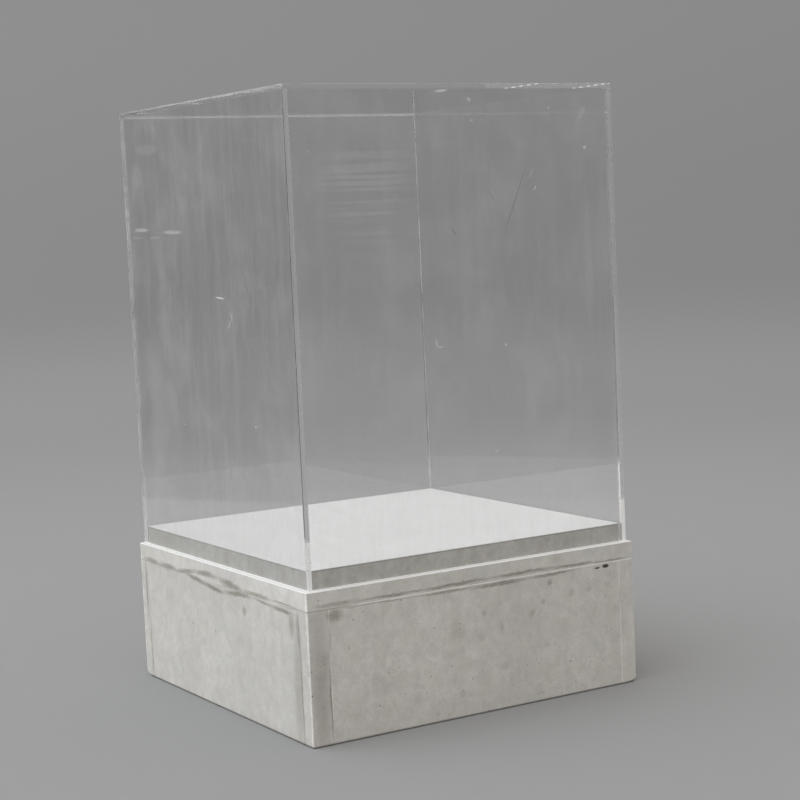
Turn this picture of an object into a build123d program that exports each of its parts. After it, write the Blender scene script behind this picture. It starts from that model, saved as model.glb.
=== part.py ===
from build123d import *
import os

# A clear acrylic display cover on a low boxed base, in millimetres.
# +Z is up, the wider face of the photograph looks along -Y, and the origin is
# the middle of the underside. The base is a box of tongued wall boards between
# grooved corner posts, closed by a deck board. A smaller platform board stands
# on the deck, and the five-sided cover drops over it onto the deck's margin.

# Driving dimensions
board = 18.0            # thickness of the sawn boards
base_side = 378.0       # width and depth of the base
wall_height = 128.0     # from the floor to the deck's underside
cover_side = 370.0      # outside width and depth of the cover
sheet = 5.0             # thickness of the acrylic sheet
total_height = 608.0    # from the floor to the top of the cover
platform_side = 358.0   # width and depth of the platform
facing = 0.6            # thickness of the white sheet on the platform

# Corner posts are strips ripped from the same board
post_wide = 22.0
post_thin = 18.0

# Small clearances and eased edges
cement_line = 0.05      # film of cement between two acrylic sheets
rest_gap = 0.1          # air between the cover's lower edge and the deck
polish = 0.4            # eased edge of the acrylic
arris = 0.6             # eased edge of the boards

# Hidden joinery
tongue_thickness = 6.0
tongue_depth = 8.0
groove_thickness = 6.2
groove_depth = 8.5
batten = 20.0
batten_ease = 3.0

# Countersunk wood screws
screw_radius = 2.0
screw_head_radius = 4.0
screw_tip_radius = 0.4
screw_tip_length = 6.0
screw_clearance = 0.1
recess_length = 4.4
recess_width = 1.1
recess_depth = 1.6
deck_screw_length = 35.0
deck_screw_long_place = 110.0     # along the front and back battens
deck_screw_short_place = 80.0     # along the side battens
platform_screw_length = 30.0
platform_screw_place = 120.0

# Heights and half widths that follow from them
half_base = base_side / 2
half_cover = cover_side / 2
half_platform = platform_side / 2
deck_top = wall_height + board
platform_top = deck_top + board
cover_bottom = deck_top + rest_gap
wall_top_of_cover = total_height - sheet
batten_bottom = wall_height - batten
inner_wall = half_base - board

os.makedirs("parts", exist_ok=True)


def block(x0, x1, y0, y1, z0, z1):
    """A square-edged solid between two opposite corners."""
    size = (x1 - x0, y1 - y0, z1 - z0)
    middle = ((x0 + x1) / 2, (y0 + y1) / 2, (z0 + z1) / 2)
    return Pos(*middle) * Box(*size)


def edges_on(solid, axis, place):
    """The edges of the flat face of a solid that lies at one place on an axis."""
    return solid.faces().filter_by(axis).sort_by(axis)[place].edges()


def save(solid, node):
    """Writes one piece as the STEP file of its node."""
    solid.label = node
    export_step(solid, f"parts/{node}.step")


# The screws and the holes that they need

def wood_screw(length):
    """A countersunk screw that points up, with the flat of its head at z = 0."""
    head_height = screw_head_radius - screw_radius
    profile = Polyline(
        (0, 0),
        (screw_head_radius, 0),
        (screw_radius, head_height),
        (screw_radius, length - screw_tip_length),
        (screw_tip_radius, length),
        (0, length),
        close=True,
    )
    screw = revolve(Plane.XZ * make_face(profile), Axis.Z)
    for turn in (0, 90):
        slot = Box(recess_length, recess_width, 2 * recess_depth)
        screw -= Rot(0, 0, turn) * slot
    return screw


def screw_hole(length):
    """What a screw of this length is driven into: a countersink and a hole."""
    radius = screw_radius + screw_clearance
    head_radius = screw_head_radius + screw_clearance
    head_height = head_radius - radius
    sink = Pos(0, 0, head_height / 2) * Cone(head_radius, radius, head_height)
    drill = Pos(0, 0, length / 2) * Cylinder(radius, length)
    return sink + drill


def deck_screw_places():
    """Two screws along each batten."""
    line = inner_wall - batten / 2
    places = []
    for side in (-1, 1):
        for along in (-1, 1):
            places.append((along * deck_screw_long_place, side * line))
            places.append((side * line, along * deck_screw_short_place))
    return places


def platform_screw_places():
    """One screw near each corner of the platform."""
    place = platform_screw_place
    return [(x, y) for x in (-place, place) for y in (-place, place)]


def deck_screw_holes():
    hole = screw_hole(deck_screw_length + screw_clearance)
    return [Pos(x, y, batten_bottom) * hole for x, y in deck_screw_places()]


def platform_screw_holes():
    hole = screw_hole(platform_screw_length + screw_clearance)
    return [Pos(x, y, wall_height) * hole for x, y in platform_screw_places()]


# The base's corner posts and walls

def post_width(side_x):
    """A post's size along X: the left pair stands with its wide side to the front."""
    return post_wide if side_x < 0 else post_thin


def post_depth(side_x):
    """A post's size along Y: the right pair is turned a quarter."""
    return post_thin if side_x < 0 else post_wide


def groove_to_wall(side_x, side_y, along_front):
    """The groove in a post that takes the tongue of the front or a side wall."""
    half_groove = groove_thickness / 2
    outer = half_base - board / 2
    if along_front:
        shoulder = half_base - post_width(side_x)
        x0, x1 = sorted((side_x * shoulder, side_x * (shoulder + groove_depth)))
        y0, y1 = side_y * outer - half_groove, side_y * outer + half_groove
    else:
        shoulder = half_base - post_depth(side_x)
        x0, x1 = side_x * outer - half_groove, side_x * outer + half_groove
        y0, y1 = sorted((side_y * shoulder, side_y * (shoulder + groove_depth)))
    return block(x0, x1, y0, y1, 0, wall_height)


def corner_post(side_x, side_y):
    """A post whose two outer faces are eased all round, grooved on its inner faces."""
    x0, x1 = sorted((side_x * half_base, side_x * (half_base - post_width(side_x))))
    y0, y1 = sorted((side_y * half_base, side_y * (half_base - post_depth(side_x))))
    post = block(x0, x1, y0, y1, 0, wall_height)
    outer_x = edges_on(post, Axis.X, 0 if side_x < 0 else -1)
    outer_y = edges_on(post, Axis.Y, 0 if side_y < 0 else -1)
    post = chamfer(ShapeList(set(outer_x + outer_y)), arris)
    for along_front in (True, False):
        post -= groove_to_wall(side_x, side_y, along_front)
    return post


def front_wall(side_y):
    """The front or back wall: a board with a tongue at each end and an eased outer face."""
    left = -half_base + post_width(-1)
    right = half_base - post_width(1)
    y0, y1 = sorted((side_y * half_base, side_y * inner_wall))
    wall = block(left, right, y0, y1, 0, wall_height)
    wall = chamfer(edges_on(wall, Axis.Y, 0 if side_y < 0 else -1), arris)
    middle = (y0 + y1) / 2
    half_tongue = tongue_thickness / 2
    wall += block(
        left - tongue_depth,
        right + tongue_depth,
        middle - half_tongue,
        middle + half_tongue,
        0,
        wall_height,
    )
    return wall


def side_wall(side_x):
    """The left or right wall, made as the front one is."""
    near = half_base - post_depth(side_x)
    x0, x1 = sorted((side_x * half_base, side_x * inner_wall))
    wall = block(x0, x1, -near, near, 0, wall_height)
    wall = chamfer(edges_on(wall, Axis.X, 0 if side_x < 0 else -1), arris)
    middle = (x0 + x1) / 2
    half_tongue = tongue_thickness / 2
    wall += block(
        middle - half_tongue,
        middle + half_tongue,
        -near - tongue_depth,
        near + tongue_depth,
        0,
        wall_height,
    )
    return wall


# The battens, the deck and the platform

def front_batten(side_y):
    """A batten along the front or back wall, eased on its free lower edge."""
    y0, y1 = sorted((side_y * inner_wall, side_y * (inner_wall - batten)))
    strip = block(-inner_wall, inner_wall, y0, y1, batten_bottom, wall_height)
    free_side = edges_on(strip, Axis.Y, -1 if side_y < 0 else 0)
    strip = chamfer(free_side.sort_by(Axis.Z)[0], batten_ease)
    for hole in deck_screw_holes():
        strip -= hole
    return strip


def side_batten(side_x):
    """A batten along a side wall, between the front and back ones."""
    x0, x1 = sorted((side_x * inner_wall, side_x * (inner_wall - batten)))
    reach = inner_wall - batten
    strip = block(x0, x1, -reach, reach, batten_bottom, wall_height)
    free_side = edges_on(strip, Axis.X, -1 if side_x < 0 else 0)
    strip = chamfer(free_side.sort_by(Axis.Z)[0], batten_ease)
    for hole in deck_screw_holes():
        strip -= hole
    return strip


def deck():
    """The board that closes the box, flush with its walls and eased all round."""
    board_solid = block(-half_base, half_base, -half_base, half_base, wall_height, deck_top)
    board_solid = chamfer(board_solid.edges(), arris)
    for hole in deck_screw_holes() + platform_screw_holes():
        board_solid -= hole
    return board_solid


def platform():
    """The raised board, with its upright corners eased."""
    half = half_platform
    board_solid = block(-half, half, -half, half, deck_top, platform_top)
    board_solid = chamfer(board_solid.edges().filter_by(Axis.Z), arris)
    for hole in platform_screw_holes():
        board_solid -= hole
    return board_solid


def platform_sheet():
    """The white facing, trimmed to the platform's eased corners."""
    half = half_platform
    skin = block(-half, half, -half, half, platform_top, platform_top + facing)
    return chamfer(skin.edges().filter_by(Axis.Z), arris)


# The cover's five sheets

def cover_side_panel(side_x):
    """A side sheet over the full depth, so its polished front edge shows."""
    x0, x1 = sorted((side_x * half_cover, side_x * (half_cover - sheet)))
    top = wall_top_of_cover - cement_line
    panel = block(x0, x1, -half_cover, half_cover, cover_bottom, top)
    outer = edges_on(panel, Axis.X, 0 if side_x < 0 else -1)
    return chamfer(outer.sort_by(Axis.Z)[:-1], polish)


def cover_front_panel(side_y):
    """The front or back sheet, cemented between the side sheets."""
    reach = half_cover - sheet - cement_line
    y0, y1 = sorted((side_y * half_cover, side_y * (half_cover - sheet)))
    top = wall_top_of_cover - cement_line
    panel = block(-reach, reach, y0, y1, cover_bottom, top)
    outer = edges_on(panel, Axis.Y, 0 if side_y < 0 else -1)
    return chamfer(outer.sort_by(Axis.Z)[0], polish)


def cover_top_panel():
    """The top sheet, which lies over the four walls and is eased round its top."""
    half = half_cover
    panel = block(-half, half, -half, half, wall_top_of_cover, total_height)
    upper = edges_on(panel, Axis.Z, -1)
    upright = panel.edges().filter_by(Axis.Z)
    return chamfer(ShapeList(upper + upright), polish)


# Every piece, by the name of its node

side_names = {-1: "left", 1: "right"}
end_names = {-1: "front", 1: "back"}

for side_y, end_name in end_names.items():
    save(front_wall(side_y), f"wall_{end_name}")
    save(front_batten(side_y), f"batten_{end_name}")
    save(cover_front_panel(side_y), f"cover_{end_name}_panel")

for side_x, side_name in side_names.items():
    save(side_wall(side_x), f"wall_{side_name}")
    save(side_batten(side_x), f"batten_{side_name}")
    save(cover_side_panel(side_x), f"cover_{side_name}_panel")
    for side_y, end_name in end_names.items():
        save(corner_post(side_x, side_y), f"post_{end_name}_{side_name}")

save(deck(), "deck_board")
save(platform(), "platform_board")
save(platform_sheet(), "platform_facing")
save(cover_top_panel(), "cover_top_panel")

deck_screw = wood_screw(deck_screw_length)
deck_screws = [Pos(x, y, batten_bottom) * deck_screw for x, y in deck_screw_places()]
save(Compound(children=deck_screws), "deck_screws")

platform_screw = wood_screw(platform_screw_length)
platform_screws = [Pos(x, y, wall_height) * platform_screw for x, y in platform_screw_places()]
save(Compound(children=platform_screws), "platform_screws")
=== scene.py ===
import math

import bpy
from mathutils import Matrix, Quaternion, Vector


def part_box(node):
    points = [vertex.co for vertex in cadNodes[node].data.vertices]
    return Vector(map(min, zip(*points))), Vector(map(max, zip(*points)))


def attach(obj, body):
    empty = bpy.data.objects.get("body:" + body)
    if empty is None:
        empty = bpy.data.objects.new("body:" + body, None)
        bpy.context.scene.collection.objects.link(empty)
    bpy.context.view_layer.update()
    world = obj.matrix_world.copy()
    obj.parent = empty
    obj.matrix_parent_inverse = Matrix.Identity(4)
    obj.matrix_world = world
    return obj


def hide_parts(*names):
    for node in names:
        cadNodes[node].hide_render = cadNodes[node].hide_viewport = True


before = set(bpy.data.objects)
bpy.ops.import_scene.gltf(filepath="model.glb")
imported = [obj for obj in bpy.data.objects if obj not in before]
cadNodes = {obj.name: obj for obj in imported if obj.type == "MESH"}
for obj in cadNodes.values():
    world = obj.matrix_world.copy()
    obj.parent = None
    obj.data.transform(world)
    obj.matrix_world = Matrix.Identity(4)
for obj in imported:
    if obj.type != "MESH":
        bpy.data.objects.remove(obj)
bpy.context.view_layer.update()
mm = 0.001
print("frame loaded:", len(cadNodes), "nodes")

bpy.context.scene.view_settings.view_transform = "Standard"


# Small helpers for node trees

def setSocket(tree, socket, value):
    if isinstance(value, bpy.types.NodeSocket):
        tree.links.new(value, socket)
    else:
        socket.default_value = value


def addNode(tree, kind, sockets, **settings):
    # sockets are set or linked by name or number, settings are the node's own choices
    node = tree.nodes.new("ShaderNode" + kind)
    for name, value in settings.items():
        setattr(node, name, value)
    for name, value in sockets.items():
        setSocket(tree, node.inputs[name], value)
    return node


def newMaterial(name):
    # an empty material, its node tree and the place on the object that its patterns read
    material = bpy.data.materials.new(name)
    material.use_nodes = True
    tree = material.node_tree
    tree.nodes.clear()
    return material, tree, addNode(tree, "TexCoord", {}).outputs["Object"]


def calc(tree, operation, first, second=0.0):
    return addNode(tree, "Math", {0: first, 1: second}, operation=operation).outputs[0]


def times(tree, *values):
    product = values[0]
    for value in values[1:]:
        product = calc(tree, "MULTIPLY", product, value)
    return product


def plus(tree, *values):
    total = values[0]
    for value in values[1:]:
        total = calc(tree, "ADD", total, value)
    return total


def apart(tree, vector):
    # the X, Y and Z of a vector
    return addNode(tree, "SeparateXYZ", {"Vector": vector}).outputs


def normalParts(tree):
    return apart(tree, addNode(tree, "NewGeometry", {}).outputs["True Normal"])


def ramp(tree, value, start, end, low=0.0, high=1.0):
    # eases from low to high as value goes from start to end
    sockets = dict(enumerate((value, start, end, low, high)))
    return addNode(tree, "MapRange", sockets, interpolation_type="SMOOTHSTEP").outputs[0]


def band(tree, value, start, end, soft):
    # 1 between start and end, 0 outside
    rise = ramp(tree, value, start - soft, start + soft)
    fall = ramp(tree, value, end - soft, end + soft, 1.0, 0.0)
    return times(tree, rise, fall)


def weighed(tree, mask, factor):
    # 1 where the mask is 0, easing to factor where it is 1
    return ramp(tree, mask, 0.0, 1.0, 1.0, factor)


def mixColour(tree, factor, first, second, blend="MIX"):
    # a Mix node has its colours on sockets 6 and 7, and gives them mixed on 2
    sockets = {0: factor, 6: first, 7: second}
    return addNode(tree, "Mix", sockets, data_type="RGBA", blend_type=blend).outputs[2]


def asGrey(tree, value):
    return addNode(tree, "CombineColor", {"Red": value, "Green": value, "Blue": value}).outputs[0]


def toned(tree, colour, tone):
    # a colour made darker or lighter by a factor
    return mixColour(tree, 1.0, colour, asGrey(tree, tone), "MULTIPLY")


def mixShader(tree, factor, first, second):
    return addNode(tree, "MixShader", {0: factor, 1: first, 2: second}).outputs[0]


def noise(tree, vector, scale, detail=3.0, roughness=0.5, distortion=0.0):
    node = addNode(tree, "TexNoise", {
        "Vector": vector, "Scale": scale, "Detail": detail,
        "Roughness": roughness, "Distortion": distortion,
    })
    return node.outputs[0]


def mapped(tree, vector, location=(0, 0, 0), rotation=(0, 0, 0), scale=(1, 1, 1)):
    node = addNode(tree, "Mapping", {
        "Vector": vector, "Location": location, "Rotation": rotation, "Scale": scale,
    })
    return node.outputs[0]


def lengthOf(tree, vector):
    return addNode(tree, "VectorMath", {0: vector}, operation="LENGTH").outputs["Value"]


def blob(tree, vector, centre, half, turn=(0, 0, 0), soft=0.5):
    # 1 inside an ellipsoid at centre with these half sizes, easing to 0 at its skin
    node = addNode(tree, "Mapping", {
        "Vector": vector, "Location": centre, "Rotation": turn, "Scale": half,
    }, vector_type="TEXTURE")
    return ramp(tree, lengthOf(tree, node.outputs[0]), 1.0, 1.0 - soft)


def placedMark(tree, vector, axis, mark, soft):
    # the blob of a mark on a face that looks along an axis, 0 for X and 1 for Y
    along, height = (number * mm for number in mark["at"])
    long, tall = (number * mm for number in mark["half"])
    slope = math.radians(mark["slope"])
    if axis == 0:
        return blob(tree, vector, (0, along, height), (1, long, tall), (slope, 0, 0), soft)
    return blob(tree, vector, (along, 0, height), (long, 1, tall), (0, -slope, 0), soft)


def wobbled(tree, vector, scale, reach):
    # the same place, pushed about by up to reach metres, so that an outline turns ragged
    node = addNode(tree, "TexNoise", {"Vector": vector, "Scale": scale, "Detail": 4.0})
    colour = node.outputs["Color"]
    centred = addNode(tree, "VectorMath", {0: colour, 1: (0.5, 0.5, 0.5)}, operation="SUBTRACT")
    push = addNode(tree, "VectorMath", {0: centred.outputs[0], "Scale": 2 * reach}, operation="SCALE")
    return addNode(tree, "VectorMath", {0: vector, 1: push.outputs[0]}, operation="ADD").outputs[0]


def swing(tree, value, amount):
    # a noise value turned into a factor that swings about 1
    return plus(tree, times(tree, calc(tree, "SUBTRACT", value, 0.5), 2 * amount), 1.0)


def spots(tree, vector, scale, size, share):
    # soft dots of about one size, in a random share of the cells
    cells = addNode(tree, "TexVoronoi", {"Vector": vector, "Scale": scale})
    chosen = addNode(tree, "SeparateColor", {"Color": cells.outputs["Color"]})
    near = ramp(tree, cells.outputs["Distance"], size, size * 0.35)
    return times(tree, near, calc(tree, "LESS_THAN", chosen.outputs[0], share))


def grey(level):
    return (level, level, level, 1.0)


def finishMaterial(tree, surface):
    addNode(tree, "OutputMaterial", {"Surface": surface})


def finishSolid(tree, colour, roughness, height, strength, distance, **others):
    # an opaque surface with a bump of this strength and distance in metres, and other sockets
    # by name, with _ for a space
    bump = addNode(tree, "Bump", {"Height": height, "Strength": strength, "Distance": distance})
    shader = addNode(tree, "BsdfPrincipled", {
        "Base Color": colour, "Roughness": roughness, "Normal": bump.outputs[0],
    })
    for name, value in others.items():
        shader.inputs[name.replace("_", " ")].default_value = value
    finishMaterial(tree, shader.outputs[0])


def dress(names, material):
    for name in names:
        piece = cadNodes[name]
        piece.data.materials.clear()
        piece.data.materials.append(material)


# The stage: a round sweep of pale grey paper, lit where the object stands and even beyond, with painted
# shade that darkens it away from the middle, up the wall and to the right

stageLook = {
    "floorRadius": 2.9,
    "curveRadius": 1.3,
    "wallHeight": 2.6,
    "curveSteps": 14,
    "sides": 96,
    "nearGrey": 0.348,
    "farGrey": 0.300,
    "wallGrey": 0.247,
    "topGrey": 0.262,
    "farFrom": 0.6,                # metres from the middle to where painted shade starts to darken the floor
    "wallHeights": (0.0, 0.3),     # between these the floor's grey turns into the wall's
    "topHeights": (0.4, 1.2),
    "fibre": 0.03,
    "fibreGrain": (240.0, 4.0),
    "fibreGrey": 0.5,
    "evenRadius": (1.0, 1.8),      # from here outwards the paper's grey is even, with no shading
    "paperRun": 31.2,              # degrees from +Y, the way that the roll of paper is laid
    "paperHalfWidth": (1.34, 1.39),
    "sideFall": 0.035,             # painted shade: how much darker each metre to the right is
    "reflectedRoomRight": 0.11,             # painted reflection: the grey of a dim room that the acrylic mirrors beyond the paper
    "reflectedRoomLeft": (0.12, 0.17),      # the same on the left, low down and higher up
    "reflectedRoomHeights": (0.0, 0.6),
}


def stageMaterial():
    material, tree, place = newMaterial("studioPaper")
    parts = apart(tree, place)
    flat = addNode(tree, "CombineXYZ", {"X": parts[0], "Y": parts[1]})
    radius = lengthOf(tree, flat.outputs[0])
    # painted shade: the paper's grey changes away from the middle and up the wall
    fades = (
        (ramp(tree, radius, stageLook["farFrom"], stageLook["floorRadius"]), "farGrey"),
        (ramp(tree, parts[2], *stageLook["wallHeights"]), "wallGrey"),
        (ramp(tree, parts[2], *stageLook["topHeights"]), "topGrey"),
        (times(tree, noise(tree, place, *stageLook["fibreGrain"]), stageLook["fibre"]), "fibreGrey"),
    )
    colour = grey(stageLook["nearGrey"])
    for fade, name in fades:
        colour = mixColour(tree, fade, colour, grey(stageLook[name]))
    # painted reflection: on mirrored rays the paper outside a band of one width is painted the grey of a
    # dim room on both sides
    run = math.radians(stageLook["paperRun"])
    sideways = addNode(tree, "VectorMath", {
        0: place, 1: (math.cos(run), -math.sin(run), 0),
    }, operation="DOT_PRODUCT").outputs["Value"]
    # painted shade, darker towards the right
    colour = toned(tree, colour, calc(tree, "SUBTRACT", 1.0, times(tree, sideways, stageLook["sideFall"])))
    beside = ramp(tree, calc(tree, "ABSOLUTE", sideways), *stageLook["paperHalfWidth"])
    path = addNode(tree, "LightPath", {})
    mirrored = band(tree, path.outputs["Glossy Depth"], 0.5, 2.5, 0.1)
    onLeft = calc(tree, "LESS_THAN", sideways, 0.0)
    leftGrey = ramp(tree, parts[2], *stageLook["reflectedRoomHeights"], *stageLook["reflectedRoomLeft"])
    rightGrey = times(tree, calc(tree, "SUBTRACT", 1.0, onLeft), stageLook["reflectedRoomRight"])
    room = plus(tree, times(tree, leftGrey, onLeft), rightGrey)
    colour = mixColour(tree, times(tree, mirrored, beside), colour, asGrey(tree, room))
    shaded = addNode(tree, "BsdfDiffuse", {"Color": colour})
    even = addNode(tree, "Emission", {"Color": colour})
    away = ramp(tree, radius, *stageLook["evenRadius"])
    finishMaterial(tree, mixShader(tree, away, shaded.outputs[0], even.outputs[0]))
    return material


def makeFloor():
    bpy.ops.mesh.primitive_circle_add(
        vertices=stageLook["sides"], radius=stageLook["floorRadius"], fill_type="NGON",
    )
    return bpy.context.object


def makeWall():
    bpy.ops.mesh.primitive_circle_add(vertices=stageLook["sides"], radius=stageLook["floorRadius"])
    wall = bpy.context.object
    bpy.ops.object.mode_set(mode="EDIT")
    bpy.ops.mesh.select_mode(type="EDGE")
    bpy.ops.mesh.select_all(action="SELECT")
    radius = stageLook["floorRadius"]
    height = 0.0
    for step in range(1, stageLook["curveSteps"] + 1):
        angle = math.pi / 2 * step / stageLook["curveSteps"]
        nextRadius = stageLook["floorRadius"] + stageLook["curveRadius"] * math.sin(angle)
        nextHeight = stageLook["curveRadius"] * (1 - math.cos(angle))
        bpy.ops.mesh.extrude_edges_move(
            TRANSFORM_OT_translate={"value": (0, 0, nextHeight - height)},
        )
        grow = nextRadius / radius
        bpy.ops.transform.resize(value=(grow, grow, 1), center_override=(0, 0, 0))
        radius = nextRadius
        height = nextHeight
    bpy.ops.mesh.extrude_edges_move(
        TRANSFORM_OT_translate={"value": (0, 0, stageLook["wallHeight"] - height)},
    )
    bpy.ops.mesh.select_all(action="SELECT")
    bpy.ops.mesh.normals_make_consistent(inside=True)
    bpy.ops.object.mode_set(mode="OBJECT")
    bpy.ops.object.shade_smooth()
    return wall


def makeStage():
    bpy.ops.object.select_all(action="DESELECT")
    paper = stageMaterial()
    floor = makeFloor()
    floor.name = "studio_floor"
    wall = makeWall()
    wall.name = "studio_wall"
    wall.visible_shadow = False      # the wall is there to be seen, and keeps no light from the object
    wall.visible_diffuse = False
    for piece in (floor, wall):
        piece.data.materials.append(paper)


makeStage()
print("stage ready")


# Soft studio light: an even room, brighter towards a wide light high on the left

skyLook = {
    "even": 0.637,
    "evenTint": (1.045, 1.0, 0.955, 1.0),     # the room's light is a little warm, the key a little cool
    "key": 1.185,
    "keyTint": (0.92, 1.0, 1.08, 1.0),
    "keySide": -10.7,     # degrees from -X towards the front
    "keyHeight": 34.4,    # degrees above the floor
    "keySpread": 2.0,     # a smaller number spreads the key wider
}


def makeSky():
    world = bpy.data.worlds.new("softRoom")
    world.use_nodes = True
    tree = world.node_tree
    tree.nodes.clear()
    side = math.radians(skyLook["keySide"])
    rise = math.radians(skyLook["keyHeight"])
    keyWay = (-math.cos(rise) * math.cos(side), -math.cos(rise) * math.sin(side), math.sin(rise))
    direction = addNode(tree, "TexCoord", {}).outputs["Generated"]
    towards = addNode(tree, "VectorMath", {0: direction, 1: keyWay}, operation="DOT_PRODUCT")
    facing = calc(tree, "MAXIMUM", towards.outputs["Value"], 0.0)
    lobe = calc(tree, "POWER", facing, skyLook["keySpread"])
    evenLight = addNode(tree, "Background", {"Color": skyLook["evenTint"], "Strength": skyLook["even"]})
    keyLight = addNode(tree, "Background", {
        "Color": skyLook["keyTint"], "Strength": times(tree, lobe, skyLook["key"]),
    })
    both = addNode(tree, "AddShader", {0: evenLight.outputs[0], 1: keyLight.outputs[0]})
    addNode(tree, "OutputWorld", {"Surface": both.outputs[0]})
    bpy.context.scene.world = world


makeSky()
print("light ready")


# The camera, solved from the straight edges in the photograph

cameraLook = {
    "place": (-0.9749, -1.6707, 0.4816),
    "turn": 31.16,       # degrees, from +Y towards +X
    "tilt": -5.52,       # degrees, down when negative
    "lean": -2.64,       # degrees, the camera's right side dips when negative
    "lens": 83.6,
    "sensor": 36.0,
    "clip": (0.05, 30.0),
}


def makeCamera():
    camera = bpy.data.cameras.new("photoCamera")
    camera.lens = cameraLook["lens"]
    camera.sensor_width = cameraLook["sensor"]
    camera.clip_start, camera.clip_end = cameraLook["clip"]
    holder = bpy.data.objects.new("photoCamera", camera)
    holder.location = cameraLook["place"]
    turn = math.radians(cameraLook["turn"])
    tilt = math.radians(cameraLook["tilt"])
    forward = math.cos(tilt)
    ahead = Vector((math.sin(turn) * forward, math.cos(turn) * forward, math.sin(tilt)))
    level = ahead.to_track_quat("-Z", "Y")
    lean = Quaternion((0, 0, 1), math.radians(cameraLook["lean"]))
    holder.rotation_mode = "QUATERNION"
    holder.rotation_quaternion = level @ lean
    bpy.context.scene.collection.objects.link(holder)
    bpy.context.scene.camera = holder


makeCamera()
print("camera ready")


# Light runs far inside the clear sheets before it leaves them
bounceLook = {
    "max_bounces": 64,
    "glossy_bounces": 48,
    "transmission_bounces": 24,
    "transparent_max_bounces": 24,
}
for setting, number in bounceLook.items():
    setattr(bpy.context.scene.cycles, setting, number)


# Clear acrylic: polished sheets with cemented ends, wipe streaks, dust and a few scratches

acrylicLook = {
    "half": 185.0,           # half the cover's width, in millimetres as all lengths here
    "top": 608.0,
    "foot": 146.1,
    "sheet": 5.0,
    "slack": 0.5,            # an outer face is looked for from this far inside it
    "ior": 1.49,
    "shadowTint": (0.96, 0.96, 0.96, 1.0),
    "tint": (0.976, 0.976, 0.976, 1.0),
    "dust": (0.82, 0.82, 0.82, 1.0),
    "dustThrough": 0.4,      # the share of the pale frost's light that comes through from behind
    "grime": (0.07, 0.07, 0.085, 1.0),
    "footGlowColour": (0.93, 0.925, 0.91, 1.0),
    "easedHighlight": 0.12,       # painted highlight: how much of the small eased edges is pale, for the light that they catch
    "polishedPale": 0.03,
    "topCement": 0.04,       # how much of the cemented ends under the top sheet is pale
    "frontCement": (0.52, 0.22),   # and for the front and back sheets' left and right ends
    "backCement": (0.55, 0.06),
    "sawnPale": (0.06, 0.60),      # the back ends of the side sheets, and their outer rim
    "sawnWidth": 1.8,
    "arrisWrap": 1.0,
    "rimHighlight": 0.28,         # painted highlight: a pale line along the outer rim of a polished edge
    "rimWidth": 0.9,
    "topEdgeHighlight": (0.45, 1.5),   # painted highlight on the top sheet's left edge: pale share and width
    "topRimFar": 0.7,        # and what is left of it at the far corner
    "glintTop": (165, 189),   # painted glint: up to here the near ends of the left and right sheets are pale
    "glintPale": (0.45, 0.97),
    "glintWrap": 0.7,
    "glintFoot": 0.58,        # painted glint: the near ends are paler low down
    "glintHeights": (196, 186),
    "raggedGrain": (45.0, 2.0),
    "ragged": (0.78, 1.12),  # how far the paleness of the edges swings
    "footGlow": 0.95,        # painted glow: the sheets' feet are white where they stand on the white deck
    "footGlowHeight": 1.2,
    "lowReflection": 0.085,        # painted reflection: paleness on the lowest part of the sheets, for the brighter floor that they mirror there
    "lowReflectionHeights": (150, 300),
    "streaks": 0.030,
    "streakGrain": (75.0, 4.0, 0.6),
    "haze": 0.044,
    "hazeGrain": (13.0, 5.0, 0.6),
    "hazeInside": 0.4,       # the share of the haze that the inner faces carry
    "wiped": (0.42, 0.72),   # the noise values between which streaks and haze come up
    "fine": 0.028,
    "fineGrain": (230.0, 3.0, 0.65),
    "hairlines": 0.06,
    "hairStretch": (6, 6, 420),
    "hairRidge": (0.735, 0.77),
    "rubbedGrain": (7.0, 2.0),
    "specks": 0.35,
    "dots": ((38.0, 0.050, 0.10), (95.0, 0.07, 0.05)),   # cells per metre, size and share
    "combed": 0.12,          # a patch that was wiped crosswise with something gritty
    "combedStretch": (5, 5, 240),
    "combedAt": (-0.102, 0, 0.512),
    "combedHalf": (0.070, 1, 0.074),
    "markSoft": 0.45,
}


def newMark(kind, along, height, long, tall, amount, slope=0):
    # a pale or dark mark on an upright face: its middle and half sizes in millimetres,
    # how strong it is from 0 to 1, and its slope in degrees
    return {"at": (along, height), "half": (long, tall), kind: amount, "slope": slope}


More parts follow.
